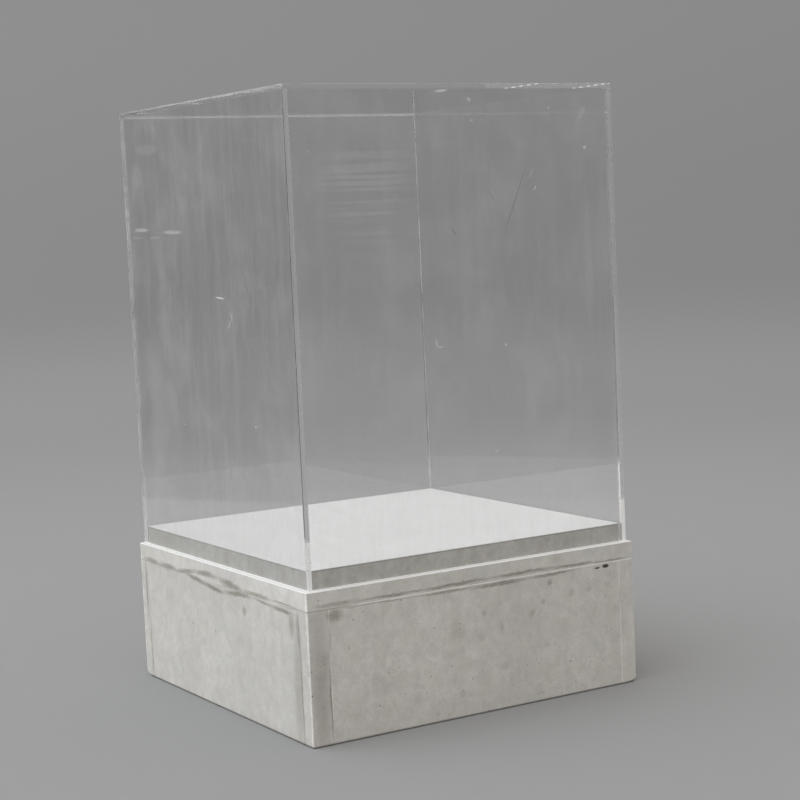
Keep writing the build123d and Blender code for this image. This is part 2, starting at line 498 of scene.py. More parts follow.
# Marks seen in the photograph on the left sheet and on the front one
leftMarks = [newMark("pale", *row) for row in (
    (144, 483.5, 24, 2.4, 0.34),
    (67, 480, 29, 2.4, 0.34, 1),
    (158, 475.5, 14, 1.5, 0.13),
    (112, 475, 17, 1.4, 0.16),
    (-35, 414.4, 13, 1.1, 0.80, 4),
    (-58, 396, 7, 1.2, 0.40, 75),
    (-53, 389, 7, 1.2, 0.35, 125),
    (-98, 292.5, 2.6, 1.7, 0.45),
    (62, 284, 3, 1.4, 0.32),
    (-74, 244, 4, 1.2, 0.35, 30),
    (120, 566, 34, 7, 0.08),
    (150, 540, 16, 16, 0.08),
)]
frontMarks = [newMark("pale", *row) for row in (
    (-33, 364, 1.4, 6, 0.35, 8),
    (-29, 360, 4, 1.2, 0.29, -10),
    (46, 357, 1.8, 1.5, 0.45),
    (150, 545, 2.2, 2.2, 0.61),
    (31, 254, 3, 1.1, 0.32, 20),
    (15, 593, 3, 1.8, 0.51, -30),
    (-16, 601, 9, 1.5, 0.64, 4),
    (108, 584, 1.6, 2.0, 0.35),
    (17, 573, 1.5, 1.5, 0.35),
    (88, 507, 3, 1.1, 0.56, 50),
    (85, 522, 9, 1.4, 0.14, 62),
    (147, 578, 12, 4, 0.11, 55),
    (150, 430, 6, 90, 0.05),
)] + [newMark("dark", *row) for row in (
    (64, 496, 44, 1.2, 0.18, 66),
    (35, 503, 11, 1.0, 0.14, -55),
    (-8, 468, 6, 1.3, 0.22, -60),
)]


def scratchMasks(tree, place, axis, marks):
    # sums of the pale and the dark marks of one sheet
    sums = {"pale": 0.0, "dark": 0.0}
    for mark in marks:
        kind = "pale" if "pale" in mark else "dark"
        shape = placedMark(tree, place, axis, mark, acrylicLook["markSoft"])
        sums[kind] = plus(tree, times(tree, shape, mark[kind]), sums[kind])
    return sums["pale"], sums["dark"]


def hairlines(tree, place, turn, shift):
    # long thin scratches one way: a noise stretched until only ridges are left
    stretched = mapped(tree, place, shift, turn, acrylicLook["hairStretch"])
    return ramp(tree, noise(tree, stretched, 1.0, 1.0), *acrylicLook["hairRidge"])


def faceMarksAndReflection(tree, place, outside, marks, axis, shift, dusty):
    # the pale share of a broad face: upright wipe streaks, patches of haze, fine hairlines and dust, and a
    # painted reflection low down
    look = acrylicLook
    moved = mapped(tree, place, shift)
    wipes = noise(tree, mapped(tree, moved, scale=(1, 1, 0.05)), *look["streakGrain"])
    streaks = times(tree, ramp(tree, wipes, *look["wiped"]), look["streaks"])
    clouds = ramp(tree, noise(tree, moved, *look["hazeGrain"]), *look["wiped"])
    haze = times(tree, clouds, look["haze"])
    steep = hairlines(tree, moved, (0.9, 0.7, 0.2), (0, 0, 0))
    level = hairlines(tree, moved, (0.05, 0.04, 0), (3, 1, 2))
    rubbed = ramp(tree, noise(tree, moved, *look["rubbedGrain"]), 0.52, 0.62)
    lines = times(tree, plus(tree, steep, times(tree, level, rubbed)), look["hairlines"])
    dots = plus(tree, *[spots(tree, moved, *dot) for dot in look["dots"]])
    pale, dark = scratchMasks(tree, place, axis, marks)
    smears = noise(tree, mapped(tree, moved, scale=(1, 1, 0.22)), *look["fineGrain"])
    smears = times(tree, ramp(tree, smears, 0.40, 0.70), look["fine"])
    total = times(tree, plus(tree, streaks, haze, lines, smears), dusty)
    total = plus(tree, total, times(tree, dots, look["specks"] * min(1.0, dusty)))
    # painted reflection: the upright sheets are paler low down
    if axis < 2:
        low, high = (height * mm for height in look["lowReflectionHeights"])
        total = plus(tree, total, ramp(tree, apart(tree, place)[2], low, high, look["lowReflection"], 0.0))
    if axis == 1 and marks:
        teeth = noise(tree, mapped(tree, place, scale=look["combedStretch"]), 1.0, 3.0)
        patch = blob(tree, place, look["combedAt"], look["combedHalf"], soft=0.8)
        total = plus(tree, total, times(tree, ramp(tree, teeth, 0.46, 0.60), patch, look["combed"]))
    total = times(tree, plus(tree, total, pale), outside)
    total = plus(tree, total, times(tree, haze, look["hazeInside"] * dusty))
    return total, times(tree, dark, outside)


def beyond(tree, value, limit):
    # 1 where a place lies further out than a limit in millimetres
    return calc(tree, "GREATER_THAN", value, limit * mm)


def below(tree, value, limit):
    return calc(tree, "LESS_THAN", value, limit * mm)


# How much of a sheet's surface normal runs along its thickness: less than the first number
# on an end, more than the second on a broad face, and between them on an eased edge
endTilt, faceTilt = 0.3, 0.95


def edgePolishAndHighlights(tree, axis, parts, normals):
    # the pale share of a sheet's edges: haze, cemented and sawn ends, and painted highlights and glints. A
    # surface met from inside the sheet has its normal turned round, so the ends are told apart by their
    # place
    look = acrylicLook
    half, outer = look["half"], look["half"] - look["slack"]
    across = calc(tree, "ABSOLUTE", normals[axis])
    edge = calc(tree, "LESS_THAN", across, endTilt)
    # painted highlight on the eased edges
    eased = band(tree, across, endTilt, faceTilt, 0.02)
    total = times(tree, eased, look["easedHighlight"])
    total = plus(tree, total, times(tree, edge, look["polishedPale"]))
    if axis == 2:
        # painted highlight on the top sheet's left edge
        share, width = look["topEdgeHighlight"]
        leftEnd = beyond(tree, times(tree, parts[0], -1), outer)
        nearer = ramp(tree, parts[1], -half * mm, half * mm, 1.0, look["topRimFar"])
        rim = times(tree, edge, beyond(tree, parts[2], look["top"] - width))
        onRim = times(tree, calc(tree, "MAXIMUM", rim, eased), leftEnd, nearer, share)
        return plus(tree, total, onRim)
    topEnd = beyond(tree, parts[2], look["top"] - look["sheet"] - look["slack"])
    sideways = calc(tree, "ABSOLUTE", parts[0])
    if axis == 1:
        inBack = beyond(tree, parts[1], 0)
        onRight = beyond(tree, parts[0], 0)
        front = ramp(tree, onRight, 0, 1, *look["frontCement"])
        back = ramp(tree, onRight, 0, 1, *look["backCement"])
        atEnd = beyond(tree, sideways, outer - look["sheet"])
        ends = times(tree, atEnd, ramp(tree, inBack, 0, 1, front, back))
        cemented = calc(tree, "MAXIMUM", times(tree, topEnd, look["topCement"]), ends)
        return plus(tree, total, times(tree, edge, cemented))
    total = plus(tree, total, times(tree, edge, topEnd, look["topCement"]))
    backEnd = times(tree, edge, beyond(tree, parts[1], outer))
    sawn = ramp(tree, beyond(tree, sideways, half - look["sawnWidth"]), 0, 1, *look["sawnPale"])
    total = plus(tree, total, times(tree, backEnd, sawn))
    backArris = times(tree, eased, beyond(tree, parts[1], half - look["arrisWrap"]))
    total = plus(tree, total, times(tree, backArris, look["sawnPale"][1]))
    frontEnd = beyond(tree, times(tree, parts[1], -1), outer)
    # painted highlight along the outer rim of the near ends
    onRim = times(tree, edge, frontEnd, beyond(tree, sideways, half - look["rimWidth"]))
    total = plus(tree, total, times(tree, onRim, look["rimHighlight"]))
    # painted glint: the near ends grow paler low down
    clear, dull = (height * mm for height in look["glintHeights"])
    glintLowDown = ramp(tree, parts[2], clear, dull, 0.0, look["glintFoot"])
    return plus(tree, total, times(tree, edge, frontEnd, glintLowDown))


def footAndEndGlints(tree, axis, parts, outside, flat):
    # painted glow on the sheets' white feet, and a painted glint on the near ends low down
    look = acrylicLook
    foot = below(tree, parts[2], look["foot"] + look["footGlowHeight"])
    under = below(tree, parts[2], look["foot"] + 0.2)
    rubbed = calc(tree, "MAXIMUM", times(tree, foot, flat, outside), under)
    total = times(tree, rubbed, look["footGlow"])
    if axis == 1:
        return total
    # painted glint on the near ends low down
    onRight = beyond(tree, parts[0], 0)
    reach = ramp(tree, onRight, 0, 1, *[height * mm for height in look["glintTop"]])
    lowDown = calc(tree, "LESS_THAN", parts[2], reach)
    frontEnd = beyond(tree, times(tree, parts[1], -1), look["half"] - look["glintWrap"])
    share = ramp(tree, onRight, 0, 1, *look["glintPale"])
    return calc(tree, "MAXIMUM", total, times(tree, frontEnd, lowDown, share))


def clearBody(tree, colour, roughness, paleShare):
    # acrylic with part of it hidden by something pale, such as dust, milky cement, and painted highlights
    # and glints
    look = acrylicLook
    clear = addNode(tree, "BsdfPrincipled", {
        "Base Color": colour,
        "Roughness": roughness,
        "IOR": look["ior"],
        "Transmission Weight": 1.0,
    })
    nearPale = addNode(tree, "BsdfDiffuse", {"Color": look["dust"]})
    farPale = addNode(tree, "BsdfTranslucent", {"Color": look["dust"]})
    frost = mixShader(tree, look["dustThrough"], nearPale.outputs[0], farPale.outputs[0])
    return mixShader(tree, paleShare, clear.outputs[0], frost)


def finishClear(tree, surface):
    # light on its way to and from other surfaces passes straight through
    path = addNode(tree, "LightPath", {}).outputs
    passing = calc(tree, "MAXIMUM", path["Is Shadow Ray"], path["Is Diffuse Ray"])
    straight = addNode(tree, "BsdfTransparent", {"Color": acrylicLook["shadowTint"]})
    finishMaterial(tree, mixShader(tree, passing, surface, straight.outputs[0]))


def acrylic(name, axis, outward, shift, dusty, marks=()):
    # axis is the sheet's thickness direction, outward the sign of its outer face on it,
    # and dusty how much of the common haze it carries
    look = acrylicLook
    material, tree, place = newMaterial(name)
    parts = apart(tree, place)
    normals = normalParts(tree)
    flat = calc(tree, "GREATER_THAN", calc(tree, "ABSOLUTE", normals[axis]), faceTilt)
    reach = look["top"] if axis == 2 else look["half"]
    outside = beyond(tree, times(tree, parts[axis], outward), reach - look["slack"])
    onFace, dark = faceMarksAndReflection(tree, place, outside, marks, axis, shift, dusty)
    onEnd = edgePolishAndHighlights(tree, axis, parts, normals)
    uneven = noise(tree, mapped(tree, place, shift), *look["raggedGrain"])
    ragged = ramp(tree, uneven, 0.3, 0.6, *look["ragged"])
    # dust dims what is seen through a face, and hardly what runs along inside the sheet
    mirrorings = addNode(tree, "LightPath", {}).outputs["Glossy Depth"]
    through = calc(tree, "SUBTRACT", 1.0, calc(tree, "MINIMUM", mirrorings, 1.0))
    # the dust on the faces, with the painted highlights and glints on the edges
    cover = plus(tree, times(tree, onFace, flat, through), times(tree, onEnd, ragged))
    cover = calc(tree, "MINIMUM", cover, 0.95)
    surface = clearBody(tree, look["tint"], 0.0, cover)
    # painted glow on the feet and painted glint on the near ends
    if axis < 2:
        footGlowColour = addNode(tree, "BsdfDiffuse", {"Color": look["footGlowColour"]})
        coated = footAndEndGlints(tree, axis, parts, outside, flat)
        surface = mixShader(tree, coated, surface, footGlowColour.outputs[0])
    if marks:
        grime = addNode(tree, "BsdfDiffuse", {"Color": look["grime"]})
        surface = mixShader(tree, dark, surface, grime.outputs[0])
    finishClear(tree, surface)
    return material


dress(["cover_left_panel"], acrylic("acrylicLeft", 0, -1, (0, 0, 0), 1.65, leftMarks))
dress(["cover_right_panel"], acrylic("acrylicRight", 0, 1, (1.3, 0.2, 0.7), 0.2))
dress(["cover_front_panel"], acrylic("acrylicFront", 1, -1, (0.4, 2.1, 0.3), 1.1, frontMarks))
dress(["cover_back_panel"], acrylic("acrylicBack", 1, 1, (2.2, 0.9, 1.6), 0.15))
dress(["cover_top_panel"], acrylic("acrylicTop", 2, 1, (0.8, 1.7, 2.4), 0.12))
print("acrylic ready")


# Grey skimmed board, with darker filler wiped along its seams and a pale coat on what faces up

boardLook = {
    "half": 189.0,                       # half the base's width, in millimetres
    "deckTop": 146.0,
    "warm": (0.590, 0.566, 0.524, 1.0),
    "cool": (0.595, 0.579, 0.546, 1.0),
    "white": (0.87, 0.867, 0.855, 1.0),
    "filler": (0.56, 0.54, 0.505, 1.0),  # what the wiped filler does to the colour under it
    "raw": (1.0, 1.0, 0.965, 1.0),       # the platform's uncoated edge is a little browner
    # how far each pattern swings the tone, and its scale, detail, roughness and distortion
    "clouds": (0.13, (9.0, 3.0, 0.5)),
    "mottle": (0.19, (62.0, 5.0, 0.62, 0.6)),
    "strokes": (0.06, (85.0, 3.0, 0.55)),
    "swirls": (0.12, (26.0, 4.0, 0.6, 3.5)),
    "grit": (0.16, (620.0, 3.0, 0.65)),
    "smears": (0.26, (60.0, 4.0, 0.65, 0.5)),
    "coarse": (0.26, (150.0, 3.0, 0.6)),
    "warmGrain": (38.0, 4.0, 0.6),
    "trowelGrain": (21.0, 2.0, 0.5, 2.0),
    # what each kind of spot does to the tone, and its cells per metre, size and share
    "pits": (0.60, (62.0, 0.10, 0.18)),
    "pinholes": (170.0, 0.20, 0.14),
    "flecks": (1.16, (110.0, 0.16, 0.20)),
    "stains": (0.91, (40.0, 0.24, 0.22)),
    "trowel": 1.07,
    "nick": 0.12,
    "floorShadow": 0.28,                     # painted shadow: the dark line where the base touches the floor
    "floorShadowHeights": (0.8, 2.6),
    "cornerHighlight": 1.26,                         # painted highlight: the skim is paler beside an upright corner, where its arris catches the light
    "cornerHighlightAt": (185.5, 188.4),
    "deckSideShading": (0.965, 1.05),          # painted shade: the deck's front and back darker, and its left and right lighter
    "wobbles": ((20.0, 0.0024), (210.0, 0.0012)),   # of the filler's outline: scale and metres
    "fillerSoft": 0.75,
    "outward": 0.3,                      # a surface whose normal has more than this is an outer one
    "lap": 0.5,                          # how far the white coat laps over the deck's rim
    "facingShadow": 0.62,                        # painted shadow: the dark line under the platform's facing
    "facingShadowHeights": (162.4, 163.2),
    "whiteSwing": 0.05,
    "bump": (0.38, 0.0007),              # strength, and distance in metres
}

# Filler wiped along the seams of the left face and of the front one
leftWipes = [newMark("dark", *row) for row in (
    (160, 130, 28, 4.4, 0.85, 4),
    (118, 128.6, 34, 4.9, 0.85),
    (72, 130.4, 36, 3.9, 0.95, -8),
    (24, 133.8, 38, 4.4, 1.0, -2),
    (-30, 131, 40, 5.2, 1.0, 6),
    (-88, 129.8, 44, 3.1, 0.85),
    (-142, 128.8, 38, 2.6, 0.80, 2),
    (48, 125.6, 38, 3.6, 0.95, 6),
    (8, 122.6, 34, 3.6, 1.0, 4),
    (-48, 124, 44, 3.9, 0.95, -3),
    (-100, 124.5, 34, 2.3, 0.75, 3),
    (-140, 122.6, 34, 3.1, 1.0, 2),
    (-158, 112, 9, 19, 0.62, 2),
    (-169, 106, 6, 26, 0.62),
    (-165, 52, 12, 82, 0.42, 1),
    (-172.5, 50, 1.8, 84, 0.90),
    (176.5, 100, 3.6, 46, 0.90),
    (173, 30, 2.6, 50, 0.60),
    (-59.6, 109, 7.0, 7.0, 0.60),
    (62, 77.5, 3.0, 2.6, 0.60),
    (8.7, 78.4, 3.4, 3.0, 0.30),
)]
frontWipes = [newMark("dark", *row) for row in (
    (-158, 131.6, 30, 3.2, 0.70),
    (-160, 121.5, 13, 9.5, 0.75),
    (-96, 130.9, 60, 1.9, 0.90),
    (-24, 131.4, 64, 2.4, 1.0, 0.5),
    (52, 131.6, 60, 2.6, 1.0),
    (116, 130.6, 44, 2.0, 0.95),
    (160, 130.3, 34, 1.5, 0.80),
    (-110, 126.3, 64, 1.3, 0.60),
    (-36, 125.6, 48, 2.0, 0.90),
    (24, 124.6, 48, 3.2, 1.0, 1),
    (86, 125.2, 40, 2.4, 0.95, 1),
    (-167.5, 40, 1.6, 52, 0.90),
    (-166, 96, 1.4, 24, 0.45),
    (171, 92, 1.0, 14, 0.50),
    (84.6, 117.5, 5.0, 4.6, 0.70),
    (133, 104, 4.0, 5.0, 0.30),
    (111, 104, 6.4, 6.5, 0.40),
    (76, 99, 4.6, 5.5, 0.45),
    (62, 89.5, 7.0, 5.0, 0.45, 20),
    (5, 98, 4.0, 4.2, 0.45),
    (25, 82, 4.0, 9.0, 0.42),
    (-25, 86, 13, 19, 0.22, 15),
    (-178, 60, 13, 84, 0.42),
)]
# The same wiping on the faces that the photograph doesn't show
rightWipes = [newMark("dark", *row) for row in (
    (-90, 131, 70, 2.4, 0.80),
    (20, 125, 80, 2.8, 0.85, 1),
    (110, 131.5, 50, 2.2, 0.80, -1),
    (-167.5, 62, 1.5, 74, 0.80),
    (167.5, 62, 2.2, 70, 0.65),
)]
backWipes = [newMark("dark", *row) for row in (
    (100, 131.5, 70, 2.4, 0.85, 1),
    (-40, 124.5, 90, 2.8, 0.85),
    (-120, 131, 44, 1.8, 0.70),
    (-167.5, 62, 2.0, 74, 0.80),
    (171, 58, 1.4, 74, 0.70),
)]
edgeNicks = [
    {"at": (154.5, -189, 124.6), "half": (5.2, 4, 2.4)},
    {"at": (144.0, -189, 123.8), "half": (4.4, 4, 1.1)},
]


def wipesOn(box, wipes, axis, outward):
    # the wipes of one face of the base that reach a board with this box
    margin = 5 * mm
    away = abs(box[0 if outward < 0 else 1][axis] * outward - boardLook["half"] * mm)
    if away > mm:
        return []
    other = 1 - axis
    found = []
    for wipe in wipes:
        along, height = (number * mm for number in wipe["at"])
        long, tall = (number * mm + margin for number in wipe["half"])
        beside = along + long < box[0][other] or along - long > box[1][other]
        above = height + tall < box[0][2] or height - tall > box[1][2]
        if not beside and not above:
            found.append(wipe)
    return found


def fillerMask(tree, node, place, normals):
    # how much filler lies on a board, on each outer face of the base that it is part of
    ragged = place
    for scale, reach in boardLook["wobbles"]:
        ragged = wobbled(tree, ragged, scale, reach)
    filler = 0.0
    faces = ((leftWipes, 0, -1), (frontWipes, 1, -1), (rightWipes, 0, 1), (backWipes, 1, 1))
    for wipes, axis, outward in faces:
        found = wipesOn(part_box(node), wipes, axis, outward)
        total = 0.0
        for wipe in found:
            shape = placedMark(tree, ragged, axis, wipe, boardLook["fillerSoft"])
            total = calc(tree, "MAXIMUM", times(tree, shape, wipe["dark"]), total)
        if found:
            here = calc(tree, "GREATER_THAN", times(tree, normals[axis], outward), boardLook["outward"])
            filler = plus(tree, times(tree, total, here), filler)
    return filler


def nickMask(tree, place):
    chipped = wobbled(tree, place, 160.0, 0.0008)
    nick = 0.0
    for chip in edgeNicks:
        hole = blob(tree, chipped, [n * mm for n in chip["at"]], [n * mm for n in chip["half"]])
        nick = calc(tree, "MAXIMUM", hole, nick)
    return nick


def coatMask(tree, node, place, parts, normals):
    # the white coat covers what faces up, and laps a little over the deck's rim
    up = times(tree, ramp(tree, normals[2], 0.45, 0.66), beyond(tree, parts[2], 140))
    if node != "deck_board":
        return up
    wander = times(tree, calc(tree, "SUBTRACT", noise(tree, place, 70.0, 4.0), 0.5), 0.003)
    rim = (boardLook["deckTop"] - boardLook["lap"]) * mm
    lap = ramp(tree, plus(tree, parts[2], wander), rim - 0.2 * mm, rim + 0.2 * mm)
    return calc(tree, "MAXIMUM", up, lap)


def platformEdge(tree, body, moved, parts):
    # the platform's sawn edge is browner and smeared, with a painted shadow under its facing
    look = boardLook
    turned = mapped(tree, moved, (1, 2, 3), (0.5, 0.6, 0.3), (1, 1, 0.35))
    smears = noise(tree, turned, *look["smears"][1])
    coarse = noise(tree, moved, *look["coarse"][1])
    patchy = times(tree, swing(tree, smears, look["smears"][0]), swing(tree, coarse, look["coarse"][0]))
    body = toned(tree, body, patchy)
    body = mixColour(tree, 1.0, body, look["raw"], "MULTIPLY")
    # painted shadow under the facing
    low, high = (height * mm for height in look["facingShadowHeights"])
    return toned(tree, body, ramp(tree, parts[2], low, high, 1.0, look["facingShadow"]))


def board(node, shift, shade):
    look = boardLook
    material, tree, place = newMaterial(node + "_skim")
    parts = apart(tree, place)
    normals = normalParts(tree)
    moved = mapped(tree, place, shift)
    patterns = {}
    for name in ("clouds", "mottle", "strokes", "swirls", "grit"):
        under = mapped(tree, moved, scale=(1, 1, 0.14)) if name == "strokes" else moved
        patterns[name] = noise(tree, under, *look[name][1])
    mottle, grit, clouds = patterns["mottle"], patterns["grit"], patterns["clouds"]
    pits = spots(tree, moved, *look["pits"][1])
    pits = calc(tree, "MAXIMUM", pits, spots(tree, moved, *look["pinholes"]))
    flecks = spots(tree, mapped(tree, moved, (5, 3, 1)), *look["flecks"][1])
    blotted = mapped(tree, wobbled(tree, moved, 90.0, 0.003), (1, 8, 2))
    stains = spots(tree, blotted, *look["stains"][1])

    tone = shade
    for name, pattern in patterns.items():
        tone = times(tree, tone, swing(tree, pattern, look[name][0]))
    for name, mask in (("pits", pits), ("flecks", flecks), ("stains", stains)):
        tone = times(tree, tone, weighed(tree, mask, look[name][0]))
    trowel = noise(tree, mapped(tree, moved, (4, 2, 9)), *look["trowelGrain"])
    arcs = times(tree, band(tree, trowel, 0.494, 0.506, 0.006), ramp(tree, clouds, 0.48, 0.56))
    tone = times(tree, tone, weighed(tree, arcs, look["trowel"]))
    nick = nickMask(tree, place)
    tone = times(tree, tone, weighed(tree, nick, look["nick"]))
    # painted shadow: darker along the foot, where the base meets the floor
    low, high = (height * mm for height in look["floorShadowHeights"])
    tone = times(tree, tone, ramp(tree, parts[2], low, high, look["floorShadow"], 1.0))
    # painted highlight: the side faces are paler next to the upright corners
    sideFace = ramp(tree, calc(tree, "ABSOLUTE", normals[0]), 0.3, 0.5)
    wander = times(tree, calc(tree, "SUBTRACT", mottle, 0.5), 0.008)
    fromMiddle = plus(tree, calc(tree, "ABSOLUTE", parts[1]), wander)
    rubbed = times(tree, sideFace, ramp(tree, fromMiddle, *[far * mm for far in look["cornerHighlightAt"]]))
    tone = times(tree, tone, weighed(tree, rubbed, look["cornerHighlight"]))
    # painted shade: the deck's left and right faces are lighter than its front and back
    if node == "deck_board":
        tone = times(tree, tone, ramp(tree, sideFace, 0, 1, *look["deckSideShading"]))

    filler = fillerMask(tree, node, place, normals)
    filler = times(tree, filler, ramp(tree, patterns["swirls"], 0.34, 0.58, 0.75, 1.2))
    warmth = noise(tree, mapped(tree, moved, (2, 7, 4)), *look["warmGrain"])
    body = mixColour(tree, ramp(tree, warmth, 0.35, 0.65), look["cool"], look["warm"])
    body = toned(tree, body, tone)
    body = mixColour(tree, filler, body, mixColour(tree, 1.0, body, look["filler"], "MULTIPLY"))
    if node == "platform_board":
        body = platformEdge(tree, body, moved, parts)
    coated = coatMask(tree, node, place, parts, normals)
    faint = look["whiteSwing"]
    whiteTone = times(tree, swing(tree, mottle, faint), swing(tree, grit, faint))
    colour = mixColour(tree, coated, body, toned(tree, look["white"], whiteTone))

    grain = ((grit, 0.5), (mottle, 0.5), (patterns["strokes"], 0.3))
    height = plus(tree, *[times(tree, pattern, depth) for pattern, depth in grain])
    for mask, depth in ((pits, 0.6), (nick, 2.0)):
        height = calc(tree, "SUBTRACT", height, times(tree, mask, depth))
    roughness = ramp(tree, mottle, 0.2, 0.8, 0.70, 0.88)
    finishSolid(tree, colour, roughness, height, *look["bump"], Specular_IOR_Level=0.3)
    return material


# a tone for each board: the deck a little lighter, the platform darker, partly from its browner board and
# partly painted shade for the light lost under the cover
boardTonesAndShade = {"deck_board": 1.05, "platform_board": 0.71}
boardNodes = [n for n in cadNodes if n.startswith(("wall_", "post_", "deck_board", "platform_board"))]
for number, node in enumerate(sorted(boardNodes)):
    shift = (0.6 * number, 0.1 + 0.37 * number, 0.3)    # no two boards have the same patterns
    dress([node], board(node, shift, boardTonesAndShade.get(node, 1.0)))
print("boards ready")


# White facing on the platform: a smooth thin sheet with faint scuffs and a little grit

facingLook = {
    "white": (0.865, 0.865, 0.86, 1.0),
    "cloud": 0.02,
    "scuff": 0.04,
    "dots": (60.0, 0.05, 0.12),
    "dotTone": 0.8,
    "roughness": (0.42, 0.60),
    "bump": (0.15, 0.0002),
}


def whiteSheet():
    look = facingLook
    material, tree, place = newMaterial("whiteFacing")
    clouds = noise(tree, place, 8.0, 3.0)
    scuffs = noise(tree, mapped(tree, place, rotation=(0, 0, 0.5), scale=(1, 0.15, 1)), 160.0, 4.0)
    dots = spots(tree, place, *look["dots"])
    tone = times(tree, swing(tree, clouds, look["cloud"]), swing(tree, scuffs, look["scuff"]))
    tone = times(tree, tone, weighed(tree, dots, look["dotTone"]))
    roughness = ramp(tree, scuffs, 0.2, 0.8, *look["roughness"])
    colour = toned(tree, look["white"], tone)
    finishSolid(tree, colour, roughness, scuffs, *look["bump"], Specular_IOR_Level=0.25)
    return material


dress(["platform_facing"], whiteSheet())


# Raw pine for the battens that only the underside shows

timberLook = {
    "pale": (0.66, 0.49, 0.31, 1.0),
    "dark": (0.47, 0.31, 0.17, 1.0),
    "rings": {"Scale": 55.0, "Distortion": 5.0, "Detail": 3.0, "Detail Scale": 1.6},
    "roughness": (0.55, 0.8),
    "bump": (0.3, 0.0004),
}


def rawTimber(name, along):
    # along is the axis that the batten lies on, 0 for X and 1 for Y
    look = timberLook
    material, tree, place = newMaterial(name)
    stretch = [1.0, 1.0, 1.0]
    stretch[along] = 0.06
    fibre = mapped(tree, place, scale=stretch)
    rings = addNode(tree, "TexWave", {
        "Vector": fibre, **look["rings"],
    }, wave_type="RINGS", rings_direction="XYZ"[along])
    threads = noise(tree, fibre, 900.0, 3.0)
    late = ramp(tree, rings.outputs["Color"], 0.35, 0.95)
    tone = times(tree, swing(tree, threads, 0.14), swing(tree, noise(tree, place, 20.0), 0.10))
    colour = toned(tree, mixColour(tree, late, look["pale"], look["dark"]), tone)
    roughness = ramp(tree, threads, 0.2, 0.8, *look["roughness"])
    finishSolid(tree, colour, roughness, threads, *look["bump"])
    return material


dress(["batten_front", "batten_back"], rawTimber("pineAcross", 0))
dress(["batten_left", "batten_right"], rawTimber("pineDeep", 1))


# Zinc-plated screws

zincLook = {
    "bright": (0.66, 0.67, 0.68, 1.0),
    "dull": (0.45, 0.46, 0.45, 1.0),
    "roughness": (0.28, 0.5),
    "bump": (0.2, 0.0001),
}


def zinc():
    look = zincLook
    material, tree, place = newMaterial("zincPlate")
    bloom = noise(tree, place, 700.0, 4.0)
    colour = mixColour(tree, ramp(tree, bloom, 0.35, 0.7), look["bright"], look["dull"])
    roughness = ramp(tree, bloom, 0.2, 0.8, *look["roughness"])
    finishSolid(tree, colour, roughness, bloom, *look["bump"], Metallic=1.0)
    return material


dress(["deck_screws", "platform_screws"], zinc())
print("facing, timber and screws ready")


# Fillets of cement round the cover's back sheet, too thin for the CAD model

jointLook = {
    "inside": 179.95,        # half the cover's inside width, just clear of the sheets
    "foot": 147.0,
    "ceiling": 602.9,
    "leg": 1.1,              # how far a fillet reaches over the sheets
    "apart": 0.05,           # the gap between the upright bars and the one along the top
    "roughness": 0.08,
    "cloudGrain": (32.0, 4.0, 0.6),
    "cloudy": (0.05, 0.22),  # the milky share, least and most
    "bubbles": (260.0, 0.22, 0.35),
    "bubble": 0.2,
}


def newCube(low, high):
    # a box between two corners given in millimetres, with its place in its mesh
    bpy.ops.object.select_all(action="DESELECT")
    middle = [(a + b) / 2 * mm for a, b in zip(low, high)]
    size = [(b - a) * mm for a, b in zip(low, high)]
    bpy.ops.mesh.primitive_cube_add(size=1, location=middle)
    cube = bpy.context.object
    cube.scale = size
    bpy.ops.object.transform_apply(location=True, rotation=True, scale=True)
    return cube


def selectEdges(piece, wanted):
    # in edit mode, selects only the edges whose two ends both pass the test, in millimetres
    bpy.ops.object.mode_set(mode="EDIT")
    bpy.ops.mesh.select_mode(type="EDGE")
    bpy.ops.mesh.select_all(action="DESELECT")
    bpy.ops.object.mode_set(mode="OBJECT")
    for edge in piece.data.edges:
        ends = [piece.data.vertices[index].co / mm for index in edge.vertices]
        edge.select = wanted(ends[0]) and wanted(ends[1])
    bpy.ops.object.mode_set(mode="EDIT")


def fillet(low, high, freeCorner, axes):
    # a bar in a corner between two sheets, whose free edge is hollowed to a fillet
    bar = newCube(low, high)
    selectEdges(bar, lambda end: all(abs(end[axis] - freeCorner[axis]) < 0.01 for axis in axes))
    bpy.ops.mesh.bevel(offset=0.98 * jointLook["leg"] * mm, segments=3, profile=0.28)
    bpy.ops.object.mode_set(mode="OBJECT")
    return bar


def cementMaterial():
    material, tree, place = newMaterial("cement")
    bubbles = spots(tree, place, *jointLook["bubbles"])
    clouds = noise(tree, place, *jointLook["cloudGrain"])
    cloudy = ramp(tree, clouds, 0.32, 0.62, *jointLook["cloudy"])
    milky = plus(tree, cloudy, times(tree, bubbles, jointLook["bubble"]))
    finishClear(tree, clearBody(tree, (1, 1, 1, 1), jointLook["roughness"], milky))
    return material


def makeCement():
    inside, leg = jointLook["inside"], jointLook["leg"]
    foot, ceiling = jointLook["foot"], jointLook["ceiling"]
    y0, y1 = inside - leg, inside
    bars = []
    for side in (-1, 1):
        x0, x1 = sorted((side * inside, side * (inside - leg)))
        free = (side * (inside - leg), y0, 0)
        bars.append(fillet((x0, y0, foot), (x1, y1, ceiling - leg - jointLook["apart"]), free, (0, 1)))
    free = (0, y0, ceiling - leg)
    bars.append(fillet((-inside, y0, ceiling - leg), (inside, y1, ceiling), free, (1, 2)))
    bpy.ops.object.select_all(action="DESELECT")
    for bar in bars:
        bar.select_set(True)
    bpy.context.view_layer.objects.active = bars[0]
    bpy.ops.object.join()
    cement = bpy.context.object
    cement.name = "cover_cement"
    cement.data.materials.append(cementMaterial())
    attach(cement, "cover")


makeCement()
print("cement ready")


# The feet of the corner posts are knocked round by slanted cuts, each given by the way that it
# faces at a corner on the right and at the back, and how far inside the corner it passes

